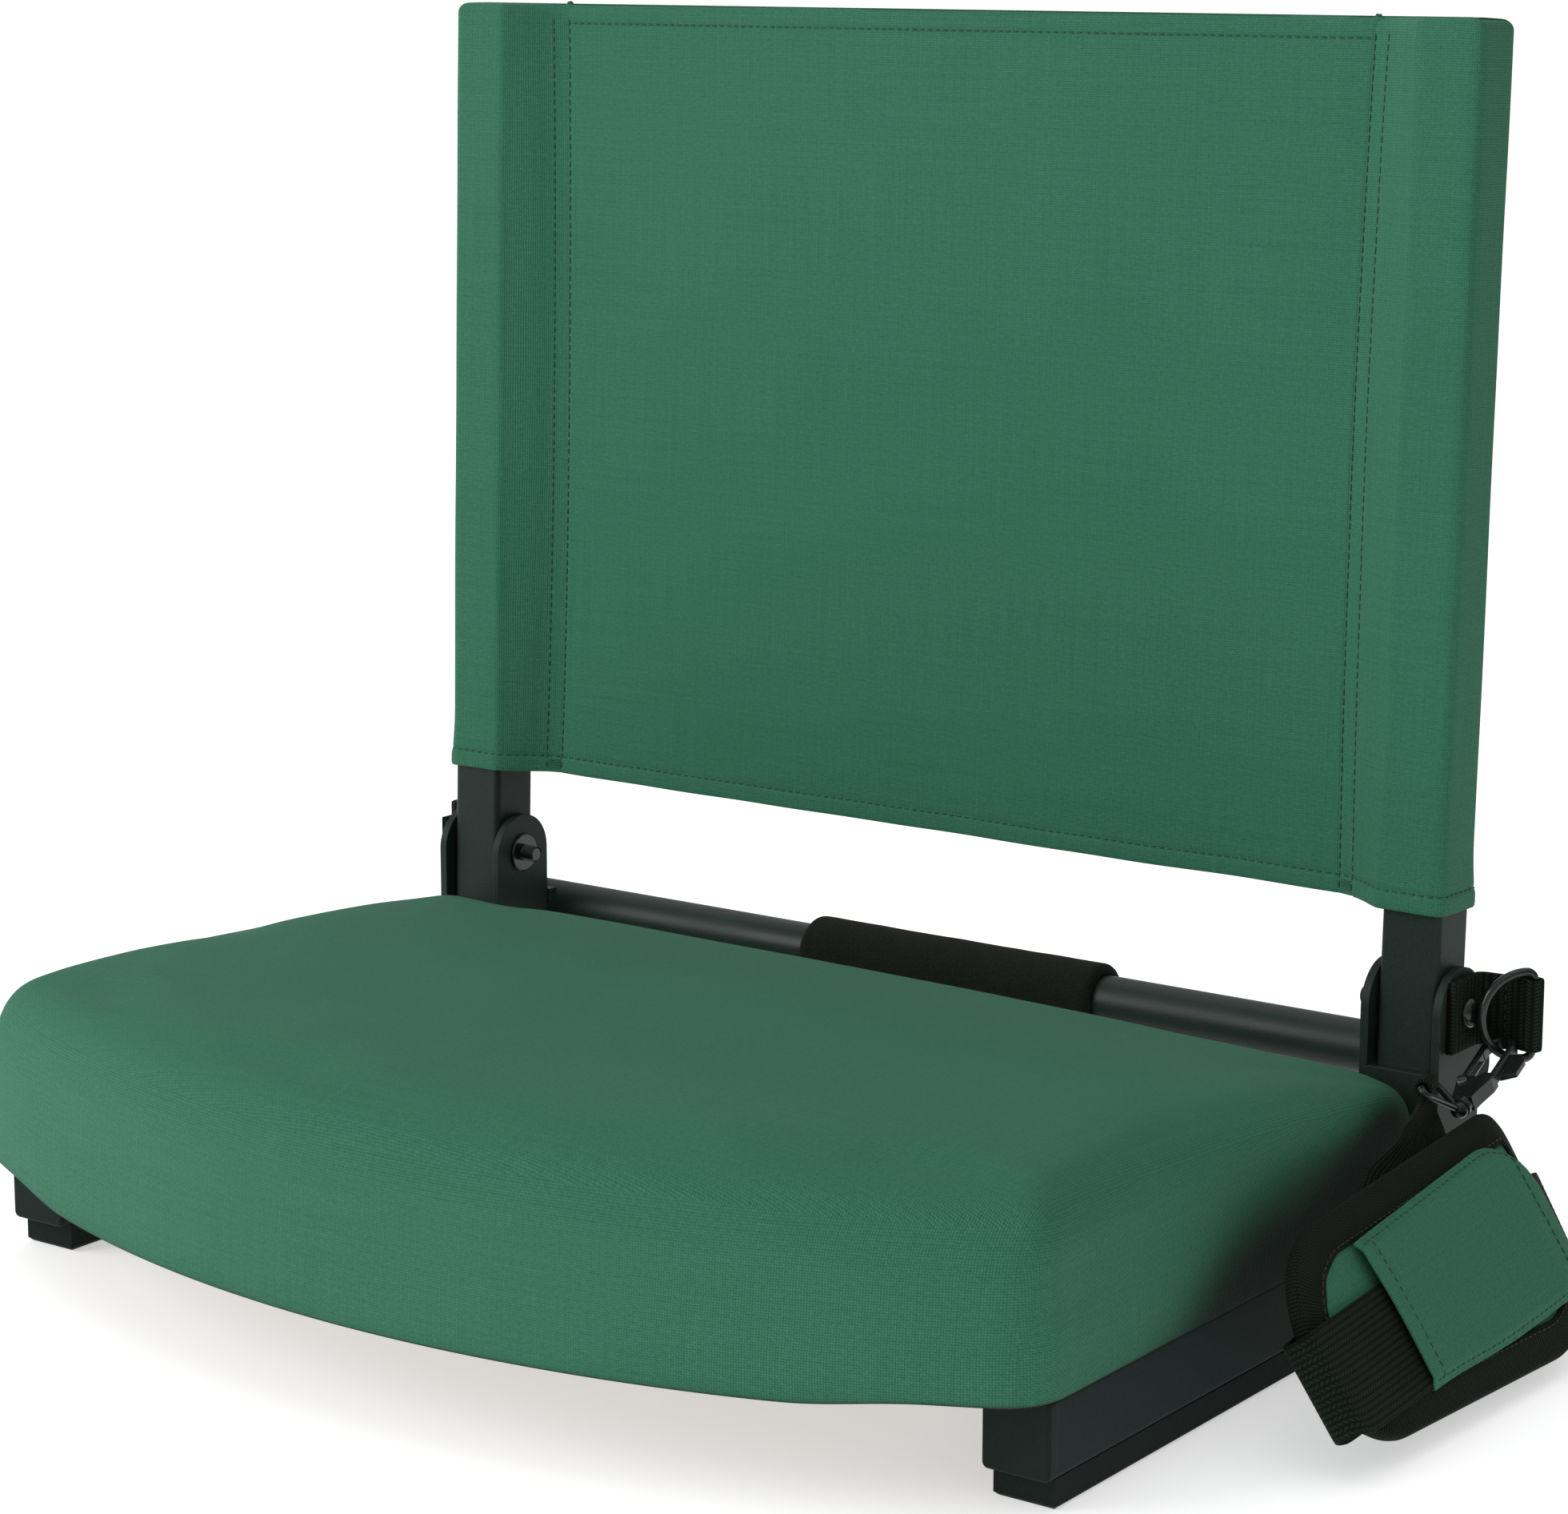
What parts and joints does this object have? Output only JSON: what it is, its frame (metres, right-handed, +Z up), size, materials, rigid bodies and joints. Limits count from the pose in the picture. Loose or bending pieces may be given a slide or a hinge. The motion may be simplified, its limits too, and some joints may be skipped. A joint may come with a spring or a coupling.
{
  "type": "folding stadium seat",
  "caption": "Folding stadium seat: padded seat on floor rails, fabric sling back hinged to fold flat, rear grab bar with foam grip, and a padded carry strap clipped to a side ring.",
  "frame": {"origin": "on the floor, under the middle of the seat's bounding box at rest", "axes": "+X to the sitter's left-hand side as seen from the front (viewer's right), +Y towards the back, +Z up"},
  "size_m": [0.5292, 0.3676, 0.4304],
  "materials": {
    "frame_paint": "satin",
    "black_plastic": "matte",
    "runner_rubber": "matte",
    "grip_foam": "matte",
    "green_fabric": "matte",
    "cushion_foam": "matte",
    "plywood": "matte",
    "black_hardware": "gloss",
    "zinc_steel": "satin",
    "hook_metal": "satin",
    "black_webbing": "matte"
  },
  "bodies": {
    "seat_base": {"clinch_nuts": "zinc_steel", "cover_staples": "zinc_steel", "foam_grip": "grip_foam", "grab_bar": "frame_paint", "grab_bar_plugs": "black_plastic", "grab_bar_welds": "frame_paint", "hinge_plate_left_inner": "frame_paint", "hinge_plate_left_outer": "frame_paint", "hinge_plate_right_inner": "frame_paint", "hinge_plate_right_outer": "frame_paint", "pivot_bolt_left": "black_hardware", "pivot_bolt_right": "black_hardware", "rail_front_cap_left": "black_plastic", "rail_front_cap_right": "black_plastic", "rail_rear_cap_left": "black_plastic", "rail_rear_cap_right": "black_plastic", "recline_stop_left": "frame_paint", "recline_stop_right": "frame_paint", "runner_left": "runner_rubber", "runner_right": "runner_rubber", "seat_board": "plywood", "seat_cover": "green_fabric", "seat_fixing_tabs": "frame_paint", "seat_foam": "cushion_foam", "seat_screws": "zinc_steel", "side_rail_left": "frame_paint", "side_rail_right": "frame_paint", "web_tab_left": "black_webbing", "web_tab_right": "black_webbing"},
    "backrest": {"back_sling": "green_fabric", "back_upright_left": "frame_paint", "back_upright_right": "frame_paint", "pivot_bushes": "black_plastic", "upright_foot_caps": "black_plastic", "upright_top_caps": "black_plastic"},
    "left_ring": {"d_ring_left": "black_hardware"},
    "right_ring": {"d_ring_right": "black_hardware"},
    "snap_hook": {"hook_body": "hook_metal", "gate_rivet": "zinc_steel"},
    "hook_gate": {"hook_gate": "hook_metal", "gate_leaf_spring": "zinc_steel"},
    "carry_strap": {"strap_swivel": "hook_metal", "strap_webbing": "black_webbing", "strap_end": "black_webbing", "shoulder_pad": "green_fabric", "pad_binding": "black_webbing", "pad_flap": "green_fabric"}
  },
  "joints": [
    {"name": "back_fold", "type": "hinge", "parent": "seat_base", "child": "backrest", "pos_m": [-0.02382, 0.13674, 0.1], "axis": [1, 0, 0], "range_deg": [0, 88]},
    {"name": "left_ring_swing", "type": "hinge", "parent": "seat_base", "child": "left_ring", "pos_m": [-0.26082, 0.16624, 0.0995], "axis": [0, 0, 1], "range_deg": [0, 90]},
    {"name": "right_ring_swing", "type": "hinge", "parent": "seat_base", "child": "right_ring", "pos_m": [0.21768, 0.14874, 0.0995], "axis": [0, 0, 1], "range_deg": [0, 60]},
    {"name": "hook_swing", "type": "hinge", "parent": "right_ring", "child": "snap_hook", "pos_m": [0.20981, 0.13927, 0.08736], "axis": [-0.5171, -0.6222, 0.5878], "range_deg": [0, 60]},
    {"name": "gate_swing", "type": "hinge", "parent": "snap_hook", "child": "hook_gate", "pos_m": [0.20752, 0.11912, 0.07927], "axis": [0.1255, 0.3575, -0.9255], "range_deg": [0, 14], "stiffness_Nm_per_rad": 0.02, "springref_deg": -11.46},
    {"name": "strap_swivel", "type": "hinge", "parent": "snap_hook", "child": "carry_strap", "pos_m": [0.21218, 0.10694, 0.0752], "axis": [0.0685, -0.9337, -0.3514], "range_deg": [0, 20]}
  ]
}
